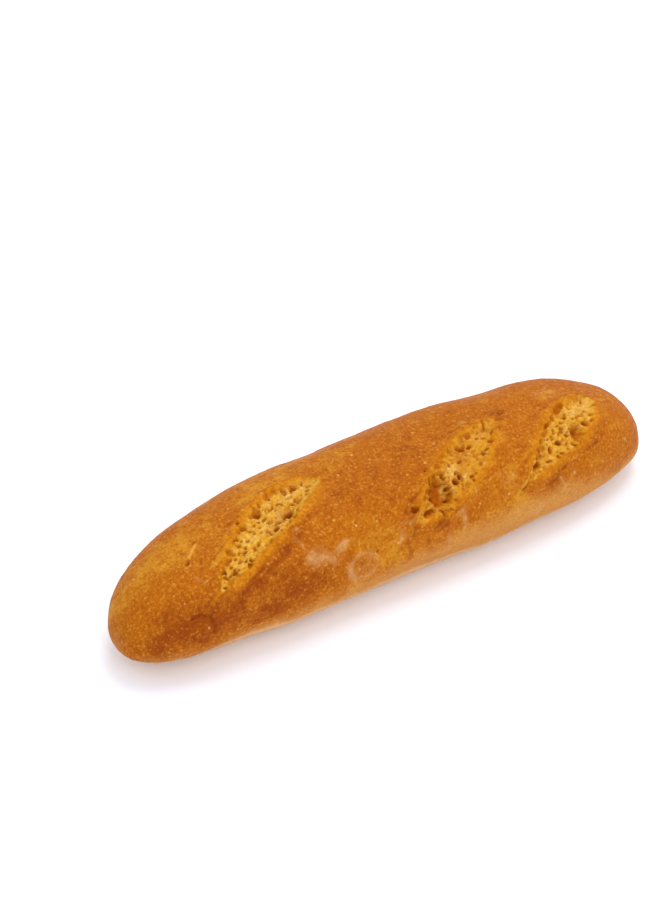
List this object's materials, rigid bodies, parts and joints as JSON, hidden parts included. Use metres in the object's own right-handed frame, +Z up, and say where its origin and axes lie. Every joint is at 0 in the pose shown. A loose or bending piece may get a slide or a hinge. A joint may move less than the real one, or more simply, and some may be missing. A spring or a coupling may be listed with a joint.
{
  "type": "baguette",
  "caption": "Small golden-brown baguette, a baked bread loaf with slanting blade cuts in its top crust, lying on its flat base.",
  "frame": {"origin": "on the flat base, under the middle of the loaf's box", "axes": "+X along the loaf towards the end whose cuts lie closest together, +Y towards the uncut side, +Z up"},
  "size_m": [0.273, 0.0722, 0.05],
  "materials": {
    "crust": "matte"
  },
  "bodies": {
    "root": {"loaf": "crust"}
  },
  "joints": []
}
